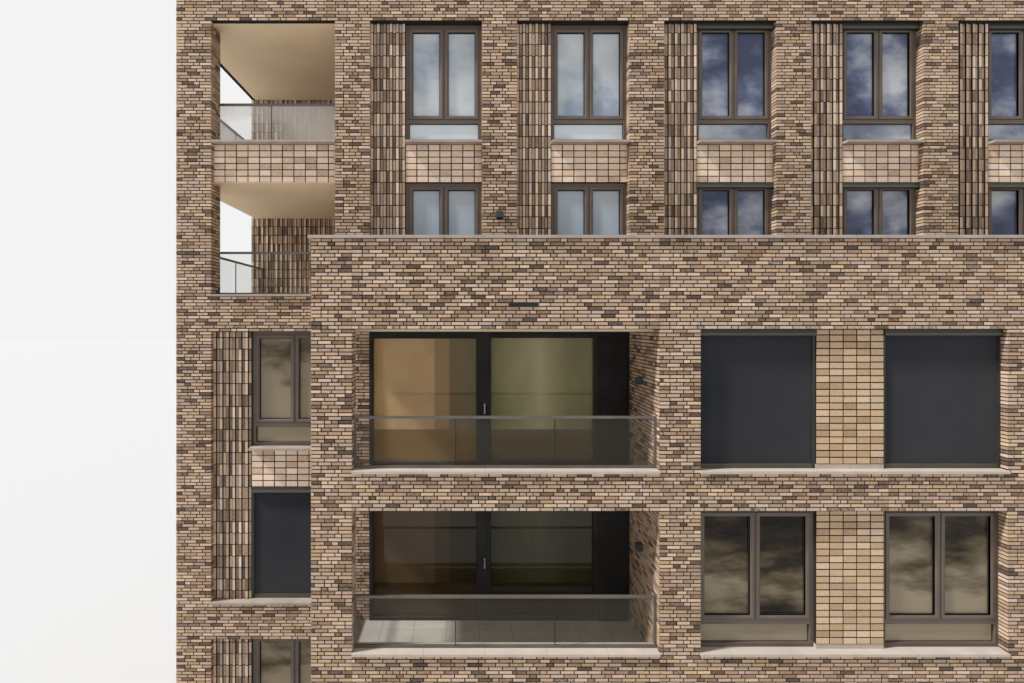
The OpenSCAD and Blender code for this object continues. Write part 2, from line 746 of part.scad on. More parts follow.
module screen_cassettes() color("Grey") {
    on_main_front() for (i = [front_storeys, top], k = cassette_bays)
        translate([pier_x(k) - left_x + pier_w + strip_ribs * course, window_recess,
            floor_z(i) + head_over(i)]) cassette(window_w);
    for (right = [0, 1])
        at_middle_window(front_storeys - 1, right) screen_place(tall_head_h) cassette(front_window_w);
    on_main_front()
        translate([pier_w + corner_strip_ribs * course, window_recess,
            floor_z(front_storeys - 2) + spandrel_h]) cassette(corner_window_w);
}

// guides and fabric hang under the box, to just over the sill
module guides(w, h) for (x = [0, w - guide_w])
    translate([x, -guide_w, -h]) cube([guide_w, guide_w, h - cassette_h]);

module fabric(w, h) translate([guide_w + glass_seat, -guide_w / 2, -h])
    cube([w - 2 * (guide_w + glass_seat), screen_t, h - cassette_h]);

module lowered(part) {
    for (right = [0, 1])
        at_middle_window(front_storeys - 1, right) screen_place(tall_head_h)
            screen_part(front_window_w, tall_head_h - sill_t, part);
    on_main_front()
        translate([pier_w + corner_strip_ribs * course, window_recess,
            floor_z(front_storeys - 2) + spandrel_h])
            screen_part(corner_window_w, spandrel_h - sill_t, part);
}

module screen_part(w, h, part) {
    if (part == "guides") guides(w, h);
    else fabric(w, h);
}

module screen_guides() color("Grey") lowered("guides");
module sun_screens() color("DarkSlateGray") lowered("fabric");

// small box lamps: one on a pier of the terrace and one on the flank wall of each front loggia
module wall_lamps() color("DimGrey") {
    translate([pier_x(2) + pier_w / 2 - lamp_w / 2, main_y - lamp_d, terrace_z + terrace_lamp_z])
        cube([lamp_w, lamp_d, lamp_h]);
    both_sides() for (i = [0 : front_storeys - 1])
        translate([pier_x(1 + loggia_bays) - lamp_d, front_y + loggia_d / 2,
            floor_z(i) + loggia_lamp_z])
            cube([lamp_d, lamp_w, lamp_h]);
}

main_plinth();
front_plinth();
corner_piers();
front_wall_piers();
front_volume_piers();
side_wall_piers();
rear_wall_piers();
loggia_flank_walls();
front_bands();
loggia_side_bands();
side_bands();
rear_bands();
terrace_parapet();
terrace_parapet_returns();
roof_parapet();
roof_parapet_ends();
terrace_coping();
roof_coping();
floor_slabs();
front_floor_slabs();
roof_slab();
loggia_ceilings();
corner_loggia_walls();
front_ribbed_strips();
side_ribbed_strips();
rear_ribbed_strips();
front_tile_spandrels();
side_tile_spandrels();
rear_tile_spandrels();
front_tile_panels();
panel_stones();
front_sills();
side_sills();
rear_sills();
front_window_frames();
side_window_frames();
rear_window_frames();
front_window_glass();
side_window_glass();
rear_window_glass();
loggia_glazed_walls();
loggia_glass();
loggia_dark_panels();
entrance_doors();
balustrade_frames();
balustrade_glass();
screen_cassettes();
screen_guides();
sun_screens();
wall_lamps();
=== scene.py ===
"""Looks of the brick apartment block: laid bricks, tiles, frames, glass and screens over its solids."""

import math
import random

import bpy
import numpy as np
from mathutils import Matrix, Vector


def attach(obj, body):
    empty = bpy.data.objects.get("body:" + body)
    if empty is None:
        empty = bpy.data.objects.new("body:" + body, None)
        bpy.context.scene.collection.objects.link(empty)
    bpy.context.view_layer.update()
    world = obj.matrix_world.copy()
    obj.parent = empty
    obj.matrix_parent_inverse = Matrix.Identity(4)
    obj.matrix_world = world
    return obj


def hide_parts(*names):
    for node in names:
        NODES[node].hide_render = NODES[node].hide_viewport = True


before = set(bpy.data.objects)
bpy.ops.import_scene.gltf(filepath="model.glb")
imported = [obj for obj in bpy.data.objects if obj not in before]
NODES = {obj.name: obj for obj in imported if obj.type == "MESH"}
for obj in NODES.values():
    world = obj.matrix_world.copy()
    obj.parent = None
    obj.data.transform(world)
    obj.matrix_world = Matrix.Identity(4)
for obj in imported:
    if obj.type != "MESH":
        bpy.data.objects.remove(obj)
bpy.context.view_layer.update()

# Sizes of the block, in metres
COURSE = 0.061
BRICK = 0.221
STOREY = 48 * COURSE
PLINTH = 3 * COURSE
SPANDREL_FOOT = 36 * COURSE
TALL_HEAD = 38 * COURSE
BAY = 2.8
PIER = 0.652
CORNER_BAY = 3.02
SIDE_FIRST = 3.9
WALL = 0.4
FRONT_WALL = 0.29
FRONT_DEPTH = 1.68
BLOCK_W = 6 * BAY + PIER + 2 * CORNER_BAY
BLOCK_D = FRONT_DEPTH + SIDE_FIRST + 3 * BAY + PIER
LEFT = -BLOCK_W / 2
FRONT = -BLOCK_D / 2
MAIN = FRONT + FRONT_DEPTH
REAR = BLOCK_D / 2
FRONT_W = 6 * BAY + PIER
TERRACE = PLINTH + 4 * STOREY
ROOF = PLINTH + 6 * STOREY

# How far every second rib stands out
RELIEF = 0.024

# Height of the openings' feet over the slabs
UPSTAND = 0.3

# How far in from the faces of the block bricks are laid
SEE_IN = 0.21

# Joints between the laid pieces, and how far these stand out from the solids
JOINT = 0.017
RIB_GAP = 0.007
TILE_JOINT = 0.016
TILE_PLAY = 0.003
STONE_JOINT = 0.006
BRICK_OUT = 0.006
RIB_OUT = 0.004
TILE_OUT = 0.007

# Share of the bricks that are dark
DARK = 0.2

# Faces narrower than this are edges of panels, panes and cloth
NARROW = 0.5

# Heights in the windows' glass: where the painted sky reflection begins, and the top of the low lights
# over each floor
HORIZON = TERRACE
LOW_LIGHT_TOP = 0.46

# Camera and light
CAMERA_AT = (-6.256, -16.466, 11.369)
LENS = 20
SHIFT = (0.0459, -0.0171)
LIGHT_RUNS = (3.9, 1.0, -4.6)

BRICK_NODES = (
    "corner_piers", "front_wall_piers", "front_volume_piers", "side_wall_piers",
    "rear_wall_piers", "loggia_flank_walls", "front_bands", "loggia_side_bands", "side_bands",
    "rear_bands", "terrace_parapet", "terrace_parapet_returns", "roof_parapet",
    "roof_parapet_ends",
)
RIB_NODES = ("front_ribbed_strips", "side_ribbed_strips", "rear_ribbed_strips",
             "corner_loggia_walls")
TILE_NODES = ("front_tile_spandrels", "side_tile_spandrels", "rear_tile_spandrels",
              "front_tile_panels")
SIDES = ("front", "side", "rear")


def floor_z(storey):
    """Height of the floor of a storey, counted from 0."""
    return PLINTH + storey * STOREY


# Upright faces of the solids

def triangles(name):
    """Corners of a node's triangles, as an array of (triangle, corner, xyz)."""
    mesh = NODES[name].data
    mesh.calc_loop_triangles()
    points = np.array([v.co for v in mesh.vertices])
    corners = np.array([t.vertices for t in mesh.loop_triangles])
    return points[corners]


def upright_faces(names):
    """Triangles by plane: {(axis of the normal, its sign, offset in tenths of a mm): triangles}."""
    planes = {}
    for name in names:
        tris = triangles(name)
        normals = np.cross(tris[:, 1] - tris[:, 0], tris[:, 2] - tris[:, 0])
        normals /= np.maximum(np.linalg.norm(normals, axis=1, keepdims=True), 1e-12)
        for axis in (0, 1):
            for sign in (-1, 1):
                chosen = tris[normals[:, axis] * sign > 0.999]
                offsets = np.rint(chosen[:, 0, axis] * 1e4).astype(int)
                for offset in np.unique(offsets):
                    key = (axis, sign, int(offset))
                    planes.setdefault(key, []).append(chosen[offsets == offset])
    return {key: np.concatenate(parts) for key, parts in planes.items()}


def merged(stretches):
    """The same stretches in order, with those that touch joined."""
    out = []
    for a, b in sorted(stretches):
        if out and a <= out[-1][1] + 0.0005:
            out[-1][1] = max(out[-1][1], b)
        else:
            out.append([a, b])
    return out


def without(stretches, holes):
    """What is left of the stretches where no hole covers them."""
    out = []
    for a, b in stretches:
        for c, d in holes:
            if d <= a or c >= b:
                continue
            if c > a:
                out.append([a, c])
            a = max(a, d)
        if b > a:
            out.append([a, b])
    return [s for s in out if s[1] - s[0] > 0.02]


def crossed(tris, along, z):
    """Stretches, along x or y, where upright triangles cross the height z."""
    heights = tris[:, :, 2] - z
    tris = tris[(heights.min(1) < 0) & (heights.max(1) > 0)]
    stretches = []
    for tri in tris:
        found = []
        for p, q in ((0, 1), (1, 2), (2, 0)):
            (a, za), (b, zb) = tri[p][[along, 2]], tri[q][[along, 2]]
            if (za - z) * (zb - z) < 0:
                found.append(a + (b - a) * (z - za) / (zb - za))
        if len(found) == 2:
            stretches.append(sorted(found))
    return merged(stretches)


def rectangles(name):
    """Upright rectangles of a node's faces: (axis, sign, offset, start, end, bottom, top)."""
    found = set()
    for (axis, sign, offset), tris in upright_faces([name]).items():
        low, high = tris.min(1), tris.max(1)
        for a, b in zip(low, high):
            edge = (a[1 - axis], b[1 - axis], a[2], b[2])
            found.add((axis, sign, offset / 1e4, *[round(float(e), 4) for e in edge]))
    return sorted(found)


# Pieces on the faces of the solids

class Wall:
    """An upright plane seen from outside: u runs to the right, z up and d outward."""

    def __init__(self, axis, sign, offset):
        self.axis, self.sign, self.offset = axis, sign, offset
        self.right = 1 if (axis == 1) == (sign < 0) else -1

    def across(self, a, b):
        """The stretch between a and b along x or y, from left to right."""
        return sorted((self.right * a, self.right * b))

    def point(self, u, z, d):
        place = [0.0, 0.0, z]
        place[self.axis] = self.offset + self.sign * d
        place[1 - self.axis] = self.right * u
        return place


class Laid:
    """Bricks or tiles, each a front face and four edges, that become one mesh at the end."""

    def __init__(self):
        self.points = []
        self.tones = []

    def add(self, wall, start, end, bottom, top, out, tone):
        """Lays a piece on the wall, between start and end along x or y."""
        u0, u1 = wall.across(start, end)
        for d in (0, out):
            for u, z in ((u0, bottom), (u1, bottom), (u1, top), (u0, top)):
                self.points.append(wall.point(u, z, d))
        self.tones.append(tone)

    def mesh(self, name, material, slot):
        """One object of all pieces, with their tones as an attribute of the faces."""
        sides = np.array([(4, 5, 6, 7), (0, 1, 5, 4), (1, 2, 6, 5), (2, 3, 7, 6), (3, 0, 4, 7)])
        faces = (sides[None] + 8 * np.arange(len(self.tones))[:, None, None]).reshape(-1, 4)
        piece = placed(name, self.points, faces.tolist(), material)
        tone = piece.data.attributes.new("tone", "FLOAT_VECTOR", "FACE")
        tone.data.foreach_set("vector", np.repeat(self.tones, len(sides), 0).ravel())


class Shell:
    """Points and faces of one piece, gathered on the walls that it lies on."""

    def __init__(self):
        self.points = []
        self.faces = []

    def ring(self, wall, box, profile):
        """A mitred frame in the box (u0, z0, u1, z1): profile is (inset, out) from the edge in."""
        u0, z0, u1, z1 = box
        first = len(self.points)
        for k, (inset, out) in enumerate(profile):
            for u, z in ((u0 + inset, z0 + inset), (u1 - inset, z0 + inset),
                         (u1 - inset, z1 - inset), (u0 + inset, z1 - inset)):
                self.points.append(wall.point(u, z, out))
            if k:
                a = first + 4 * k
                self.faces += [(a - 4 + e, a - 4 + (e + 1) % 4, a + (e + 1) % 4, a + e)
                               for e in range(4)]

    def block(self, wall, box, low, high, bevel=0.003):
        """A block from depth low out to high, with bevelled front edges."""
        self.ring(wall, box, ((0, low), (0, high - bevel), (bevel, high)))
        last = len(self.points)
        self.faces.append(tuple(range(last - 4, last)))

    def board(self, wall, box, low, high):
        """A block that is closed at its back too."""
        first = len(self.points)
        self.block(wall, box, low, high, 0.001)
        self.faces.append((first + 3, first + 2, first + 1, first))

    def mesh(self, name, material, slot):
        placed(name, self.points, self.faces, material)


def linked(name, data):
    """An object of this data, in the scene."""
    thing = bpy.data.objects.new(name, data)
    bpy.context.scene.collection.objects.link(thing)
    return thing


def placed(name, points, faces, material):
    """A mesh of these points and faces, as a piece that rides on the block."""
    mesh = bpy.data.meshes.new(name)
    mesh.from_pydata(points, [], faces)
    mesh.materials.append(material)
    piece = linked(name, mesh)
    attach(piece, "root")
    return piece


# Materials

def srgb(code):
    """Linear colour of a six-digit screen colour."""
    parts = [int(code[i:i + 2], 16) / 255 for i in (0, 2, 4)]
    return tuple(c / 12.92 if c <= 0.04045 else ((c + 0.055) / 1.055) ** 2.4 for c in parts) + (1,)


class Tree:
    """Nodes and links of a material or a world in the making."""

    def __init__(self, owner):
        owner.use_nodes = True
        self.nodes = owner.node_tree.nodes
        self.links = owner.node_tree.links

    def node(self, kind, inputs, **settings):
        """A node with its inputs set to a number or linked to another node's output."""
        made = self.nodes.new("ShaderNode" + kind)
        for key, value in settings.items():
            setattr(made, key, value)
        for key, value in inputs.items():
            self.put(made.inputs[key], value)
        return made

    def put(self, socket, value):
        if isinstance(value, bpy.types.NodeSocket):
            self.links.new(value, socket)
        else:
            socket.default_value = value

    def math(self, operation, a, b=0.0):
        made = self.node("Math", {}, operation=operation)
        self.put(made.inputs[0], a)
        self.put(made.inputs[1], b)
        return made.outputs["Value"]


class Look(Tree):
    """A node material in the making. Each call adds a node and returns its output."""

    def __init__(self, name):
        self.material = bpy.data.materials.new(name)
        super().__init__(self.material)
        self.shader = self.nodes["Principled BSDF"]

    def set(self, **inputs):
        """Sets or links the shader's own inputs; an underscore stands for a space."""
        for key, value in inputs.items():
            self.put(self.shader.inputs[key.replace("_", " ")], value)

    def place(self, scale=(1, 1, 1)):
        """Position in the block's own frame, stretched."""
        point = self.node("TexCoord", {}).outputs["Object"]
        return self.node("Mapping", {"Vector": point, "Scale": scale}).outputs["Vector"]

    def at(self, scale=(1, 1, 1)):
        """X, Y and Z of the same position."""
        return self.node("SeparateXYZ", {"Vector": self.place(scale)}).outputs

    def noise(self, scale, detail=3.0, stretch=(1, 1, 1), rough=0.5):
        return self.node("TexNoise", {"Vector": self.place(stretch), "Scale": scale,
                                      "Detail": detail, "Roughness": rough}).outputs["Fac"]

    def ramp(self, value, stops):
        """Colour ramp over (position, screen colour) stops."""
        made = self.node("ValToRGB", {"Fac": value})
        points = made.color_ramp.elements
        for position, code in stops[2:]:
            points.new(position)
        for point, (position, code) in zip(points, stops):
            point.position = position
            point.color = srgb(code)
        return made.outputs["Color"]

    def span(self, value, low, high, to_low=0.0, to_high=1.0):
        """Maps low..high of a value to another range, clamped."""
        return self.node("MapRange", {"Value": value, "From Min": low, "From Max": high,
                                      "To Min": to_low, "To Max": to_high}).outputs["Result"]

    def line(self, value, width):
        """1 on a thin line at each whole number of a value, and 0 between the lines."""
        return self.math("LESS_THAN", self.math("FRACT", value), width)

    def mix(self, amount, a, b, blend="MIX"):
        """Mixes two colours."""
        made = self.node("Mix", {}, data_type="RGBA", blend_type=blend)
        self.put(made.inputs["Factor"], amount)
        self.put(made.inputs["A"], a)
        self.put(made.inputs["B"], b)
        return made.outputs["Result"]

    def tone(self):
        """The three numbers that a laid piece carries: its place in the ramp, its light, its bloom."""
        carried = self.node("Attribute", {}, attribute_name="tone").outputs["Vector"]
        return self.node("SeparateXYZ", {"Vector": carried}).outputs

    def bump(self, height, distance, strength=0.6):
        made = self.node("Bump", {"Height": height, "Distance": distance, "Strength": strength})
        self.put(self.shader.inputs["Normal"], made.outputs["Normal"])


def grey(value):
    return (value, value, value, 1)


def fired_clay(name, stops, fleck, pitting=0.62, spread=1.0):
    """Clay pieces with clouds, flecks and, on a few, lime bloom; spread says how far they differ."""
    look = Look(name)
    tone = look.tone()
    clouds = look.noise(22, 4)
    grain = look.noise(160, 3)
    place = look.math("ADD", tone["X"], look.span(clouds, 0.3, 0.7, -0.09, 0.09))
    colour = look.ramp(place, stops)
    light = look.math("MULTIPLY", look.span(tone["Y"], 0, 1, 1 - 0.18 * spread, 1 + 0.14 * spread),
                      look.span(grain, 0.3, 0.7, 0.86, 1.1))
    shade = look.node("CombineColor", {"Red": light, "Green": light, "Blue": light}).outputs["Color"]
    lit = look.mix(1.0, colour, shade, "MULTIPLY")
    turn = look.math("FRACT", look.math("ADD", look.math("MULTIPLY", tone["X"], 7.3),
                                        look.math("MULTIPLY", tone["Y"], 5.1)))
    hue = look.ramp(turn, ((0.0, "fbf8ff"), (0.4, "ffffff"), (0.65, "fffdf4"), (1.0, "fff9e8")))
    hued = look.mix(spread, lit, hue, "MULTIPLY")
    pits = look.span(look.noise(75, 2), pitting, pitting + 0.1, 0, 0.5)
    flecked = look.mix(pits, hued, srgb(fleck))
    bloom = look.math("MULTIPLY", tone["Z"], look.span(clouds, 0.35, 0.6))
    look.set(Base_Color=look.mix(bloom, flecked, srgb("dccfbf")), Roughness=0.86)
    look.bump(look.math("ADD", grain, clouds), 0.0025)
    return look.material


BRICK_STOPS = ((0.0, "5e4e44"), (0.06, "6e5b4d"), (0.13, "88705e"), (0.22, "a1866f"),
               (0.4, "bb9e86"), (0.62, "cbaf97"), (0.86, "dac0a9"), (0.95, "ccb093"), (1.0, "b89d80"))
RIB_STOPS = ((0.0, "85705f"), (0.15, "ab917c"), (0.45, "ccb19b"), (0.8, "e2c8b2"), (1.0, "eed6c1"))
# The ramp of the ribs set back is darker than that of the raised ribs: painted shade in the recesses
SHADED_RECESS_STOPS = ((0.0, "6f5e50"), (0.3, "9a8370"), (0.6, "b79f8a"), (0.85, "ccb39d"), (1.0, "d8bfa9"))
# The spandrel tiles are painted paler than the panel tiles: painted light against the shade under the
# sills
SPANDREL_PAINTED_LIGHT_STOPS = ((0.0, "ceb098"), (0.12, "e6c8ae"), (0.5, "f2d6bd"), (0.85, "f8dec7"),
                  (1.0, "fae6d3"))
TILE_STOPS = ((0.0, "b39676"), (0.12, "c4a584"), (0.5, "d1b291"), (0.85, "d9bb9b"), (1.0, "dec5aa"))

brick_look = fired_clay("brick", BRICK_STOPS, "5a4a40")
rib_look = fired_clay("ribbed_brick", RIB_STOPS, "54463c")
recess_painted_shade_look = fired_clay("recessed_brick_painted_shade", SHADED_RECESS_STOPS, "3a3029")
tile_look = fired_clay("tile", TILE_STOPS, "80694c", 0.57, 0.6)
spandrel_painted_light_look = fired_clay("spandrel_tile_painted_light", SPANDREL_PAINTED_LIGHT_STOPS, "8d7558", 0.57, 0.5)


def mortar(name, dark, light):
    """Recessed joints, as the surface of the solids between the laid pieces; their near-black colour is
    partly the mortar's own and partly painted shade in the joints.
    """
    look = Look(name)
    look.set(Base_Color=look.ramp(look.noise(40, 4), ((0.35, dark), (0.65, light))), Roughness=0.95)
    look.bump(look.noise(300, 3), 0.002)
    return look.material


# Near-black joints: partly dark mortar, partly painted shade in the joints
mortar_and_shade_look = mortar("mortar", "120b05", "1e140a")
rib_joint_and_shade_look = mortar("rib_joints_and_shade", "170f0a", "251b13")


def stone(name, dark, light, length, paler):
    """Stone lengths with weather marks and thin joints at even steps; on the front volume they are
    painted paler, as painted light on the sills there.
    """
    look = Look(name)
    stain = look.noise(3, 5, (1, 1, 0.3))
    colour = look.ramp(stain, ((0.3, dark), (0.7, light)))
    speckled = look.mix(look.span(look.noise(220, 2), 0.55, 0.7, 0, 0.35), colour, srgb(dark))
    # Paler on the front volume: painted light on the sills there
    in_front = look.span(look.at()["Y"], MAIN - 0.3, MAIN - 0.6, 0, paler)
    painted_paler = look.mix(in_front, speckled, srgb("dfd4c5"))
    joint = look.line(look.at((1 / length, 1, 1))["X"], STONE_JOINT / length)
    pointed = look.mix(look.math("MULTIPLY", joint, 0.5), painted_paler, srgb("4a433c"))
    look.set(Base_Color=pointed, Roughness=0.7)
    look.bump(look.noise(120, 4), 0.001)
    return look.material


sill_look = stone("sill_stone", "9b8d82", "b5a79b", 0.99, 0.35)
coping_look = stone("coping_stone", "a1948a", "b9aca2", 2.2, 0.0)


def plain(name, dark, light, scale, roughness, bump=0.0005, metallic=0.0, stretch=(1, 1, 1)):
    """A surface of one kind: paint, plaster, concrete or metal, with soft clouds and a fine grain."""
    look = Look(name)
    clouds = look.noise(scale, 5, stretch)
    look.set(Base_Color=look.ramp(clouds, ((0.3, dark), (0.7, light))), Metallic=metallic,
             Roughness=look.span(clouds, 0.3, 0.7, roughness * 0.85, min(1, roughness * 1.15)))
    look.bump(look.noise(scale * 25, 3), bump)
    return look.material


def roofing():
    """Mineral roofing laid in strips, with a dark line along each lap."""
    look = Look("roofing")
    colour = look.ramp(look.noise(2.5, 5), ((0.3, "4b4a48"), (0.7, "625f5b")))
    grain = look.noise(260, 2)
    mineral = look.mix(look.span(grain, 0.4, 0.65, 0, 0.4), colour, srgb("8b8780"))
    point = look.at()
    lap = look.line(point["Y"], 0.02)
    flat = look.math("LESS_THAN", point["Z"], ROOF + 0.01)
    look.set(Base_Color=look.mix(look.math("MULTIPLY", lap, flat), mineral, srgb("2b2a28")),
             Roughness=0.9)
    look.bump(look.math("ADD", grain, lap), 0.003)
    return look.material


def paving(side=0.6):
    """Concrete, with the joints of square slabs on its upper faces."""
    look = Look("paving")
    colour = look.ramp(look.noise(1.5, 5), ((0.3, "9d978d"), (0.7, "b6b0a5")))
    grain = look.noise(90, 3)
    speckled = look.mix(look.span(grain, 0.5, 0.7, 0, 0.3), colour, srgb("7d776d"))
    point = look.at((1 / side, 1 / side, 1))
    joints = [look.line(point[way], STONE_JOINT / side) for way in ("X", "Y")]
    normal = look.node("NewGeometry", {}).outputs["Normal"]
    upward = look.math("GREATER_THAN", look.node("SeparateXYZ", {"Vector": normal}).outputs["Z"], 0.9)
    lines = look.math("MULTIPLY", look.math("MAXIMUM", *joints), upward)
    look.set(Base_Color=look.mix(lines, speckled, srgb("5a554d")), Roughness=0.85)
    look.bump(grain, 0.001)
    return look.material


concrete_look = plain("concrete", "8d8981", "a5a098", 1.5, 0.85, 0.002)
roofing_look = roofing()
plaster_look = plain("plaster", "e6cba6", "f1dab6", 0.8, 0.9, 0.001)
bronze_look = plain("bronze_paint", "584b41", "695b50", 2, 0.45)
dark_look = plain("dark_paint", "0b0908", "13100e", 2, 0.75)
rail_look = plain("rail_paint", "5a524b", "6b635b", 2, 0.4)
# Screen boxes: dark paint, darkened further as painted shade under the heads; the guides take the same
box_paint_and_shade_look = plain("screen_box_paint", "282824", "32322d", 2, 0.5)
bar_look = plain("screen_bar_paint", "454236", "514e41", 2, 0.5)
lamp_look = plain("lamp_paint", "2f3335", "3d4244", 4, 0.5)


def sky_in_glass(look, place, low_light):
    """Painted reflection of the sky: pale to the left, blue with clouds to the right, paler in the low
    lights, and dim painted light in the terrace doors.
    """
    drift = look.noise(0.8, 6, (1, 1, 1.5), 0.55)
    blue = look.ramp(drift, ((0.38, "4b526d"), (0.46, "69718c"), (0.54, "989eae"), (0.64, "c2c5cb")))
    pale = look.ramp(drift, ((0.38, "9aa8b9"), (0.46, "b6bfc8"), (0.54, "c6cdd1"), (0.64, "d3d8da")))
    right = look.span(look.math("ADD", place["X"], look.span(drift, 0.3, 0.7, -0.7, 0.7)), -3.4, -2.4)
    painted_paler = look.math("MULTIPLY", low_light, look.span(right, 0, 1, 0.8, 0.15))
    sky = look.mix(painted_paler, look.mix(right, pale, blue), srgb("e6f2f8"))
    doors = look.mix(look.span(place["Z"], TERRACE + 0.7, TERRACE + 1.9), srgb("a0b5c8"), srgb("b8c1ca"))
    at_doors = look.math("MULTIPLY", look.span(place["Z"], TERRACE + 2.4, TERRACE + 2.2),
                         look.span(place["X"], -2.6, -3.2))
    return look.mix(at_doors, sky, doors)


def ground_in_glass(look, place, over_floor, low_light):
    """Painted reflection of brown ground and painted shade of dim rooms, paler to the right and in the
    left bay, and in the low lights.
    """
    paler = look.math("MAXIMUM", look.span(place["X"], -0.6, 0.2, 0, 0.07),
                      look.span(place["X"], -8.8, -9.2, 0, 0.11))
    layers = look.math("ADD", look.noise(1.3, 4, (0.5, 0.5, 1.5), 0.55),
                       look.span(over_floor, 0.9, 2.2, 0.09, -0.1))
    ground = look.ramp(look.math("ADD", layers, paler),
                       ((0.34, "120d07"), (0.43, "30271a"), (0.51, "5e523d"), (0.64, "958871")))
    return look.mix(look.math("MULTIPLY", low_light, 0.8), ground, srgb("a0937d"))


def window_glass():
    """Window glass with painted reflections: sky over the horizon, ground and the painted shade of dim
    rooms below it, paler low lights.
    """
    look = Look("window_glass")
    place = look.at()
    over_floor = look.math("MODULO", look.math("SUBTRACT", place["Z"], PLINTH), STOREY)
    low_light = look.span(over_floor, LOW_LIGHT_TOP + 0.01, LOW_LIGHT_TOP - 0.01)
    ground = ground_in_glass(look, place, over_floor, low_light)
    high = look.span(place["Z"], HORIZON - 0.35, HORIZON + 0.55)
    look.set(Base_Color=look.mix(high, ground, sky_in_glass(look, place, low_light)),
             Roughness=0.03, IOR=1.5, Specular_IOR_Level=0.2)
    return look.material


def loggia_glass():
    """Glass of the loggias: a pale wall and a brown floor show dimly behind it, painted with their light
    and shade; the lower loggias are painted darker as painted shade.
    """
    look = Look("loggia_glass")
    place = look.at()
    side = look.math("ABSOLUTE", place["X"])
    across = look.span(side, FRONT_W / 2 - PIER, FRONT_W / 2 - PIER - 5)
    wall = look.ramp(across, ((0.0, "d2af7d"), (0.245, "cda776"), (0.25, "a18358"), (0.3, "a18358"),
                              (0.308, "755e38"), (0.44, "60603a"), (0.52, "8f8a54"), (0.65, "b8b188"),
                              (0.76, "898454"), (1.0, "6f6b44")))
    over_slab = look.math("MODULO", look.math("SUBTRACT", place["Z"], PLINTH - UPSTAND), STOREY)
    lower = look.mix(look.span(over_slab, 0.7, 2.2, 0.0, 0.22), wall, srgb("6b5a40"))
    clouded = look.mix(look.span(look.noise(2.2, 4, (1, 1, 0.6)), 0.35, 0.7, 0, 0.25), lower,
                       srgb("5d523b"))
    ground = look.ramp(across, ((0.0, "8c6f44"), (0.38, "866b43"), (0.46, "6e6441"), (1.0, "70664a")))
    floor = look.mix(look.span(over_slab, 0.685, 0.7), ground, clouded)
    # Painted shade: the glass of the lower loggias is painted much darker
    dim = look.span(place["Z"], TERRACE - 1.4 * STOREY, TERRACE - STOREY, 0.85, 0.0)
    look.set(Base_Color=look.mix(dim, floor, srgb("1d1913")), Roughness=0.03, IOR=1.5,
             Specular_IOR_Level=0.3)
    return look.material


def rail_glass():
    """Clear balustrade glass with a faint brown tint; on the top storey a pale, mottled painted
    reflection of the sky.
    """
    look = Look("rail_glass")
    tint_and_reflection_mottle = look.noise(0.8, 3)
    tint = look.ramp(tint_and_reflection_mottle, ((0.3, "7b7264"), (0.7, "857b6c")))
    # Top storey: pale colour and more opacity, a painted reflection of the sky
    top = look.span(look.at()["Z"], TERRACE + STOREY - UPSTAND, TERRACE + STOREY)
    painted_reflection = look.math("MULTIPLY", top, look.span(tint_and_reflection_mottle, 0.42, 0.58, 0.1, 0.3))
    look.set(Base_Color=look.mix(top, tint, srgb("e6e0d8")), Roughness=0.03, IOR=1.45,
             Specular_IOR_Level=0.4, Alpha=look.math("ADD", 0.08, painted_reflection))
    return look.material


def woven():
    """Fine screen cloth: threads both ways, and a slow change of tone."""
    look = Look("screen_fabric")
    tone = look.ramp(look.noise(0.9, 2), ((0.3, "1f2329"), (0.7, "2d2e32")))
    threads = [look.node("TexWave", {"Vector": look.place(), "Scale": 260.0},
                         bands_direction=way).outputs["Fac"] for way in ("X", "Z")]
    weave = look.math("MULTIPLY", *threads)
    look.set(Base_Color=look.mix(look.span(weave, 0, 1, 0, 0.35), tone, srgb("3a3d42")),
             Roughness=0.85, Specular_IOR_Level=0.2, Sheen_Weight=0.25, Sheen_Roughness=0.5,
             Sheen_Tint=srgb("fff0e6"))
    look.bump(weave, 0.0004)
    return look.material


glass_look = window_glass()
loggia_glass_look = loggia_glass()
rail_glass_look = rail_glass()
fabric_look = woven()
seal_and_shade_look = plain("rubber_seal_and_shade", "0f0e0d", "191715", 8, 0.7)
handle_look = plain("handle_metal", "8d8a84", "a5a29c", 6, 0.3, metallic=0.9)

DRESS = {
    "main_plinth": concrete_look, "front_plinth": concrete_look,
    "floor_slabs": concrete_look, "front_floor_slabs": paving(),
    "roof_slab": roofing_look, "loggia_ceilings": plaster_look,
    "terrace_coping": coping_look, "roof_coping": coping_look,
    "panel_stones": sill_look, "entrance_doors": bronze_look, "loggia_glazed_walls": dark_look,
    "loggia_dark_panels": dark_look, "loggia_glass": loggia_glass_look,
    "balustrade_frames": rail_look, "balustrade_glass": rail_glass_look,
    "screen_cassettes": box_paint_and_shade_look, "screen_guides": box_paint_and_shade_look,
    "sun_screens": fabric_look, "wall_lamps": lamp_look,
}
for side in SIDES:
    DRESS[side + "_sills"] = sill_look
    DRESS[side + "_window_frames"] = bronze_look
    DRESS[side + "_window_glass"] = glass_look
DRESS.update({name: mortar_and_shade_look for name in BRICK_NODES})
DRESS.update({name: rib_joint_and_shade_look for name in RIB_NODES + TILE_NODES})
for name, look in DRESS.items():
    slots = NODES[name].data.materials
    slots.clear()
    slots.append(look)


# Brickwork

# Movement joints in the face of the front volume
SEAMS = [-FRONT_W / 2 + PIER, -FRONT_W / 2 + 2 * BAY, 2.5 * BRICK, FRONT_W / 2 - 2 * BAY,
         FRONT_W / 2 - PIER]


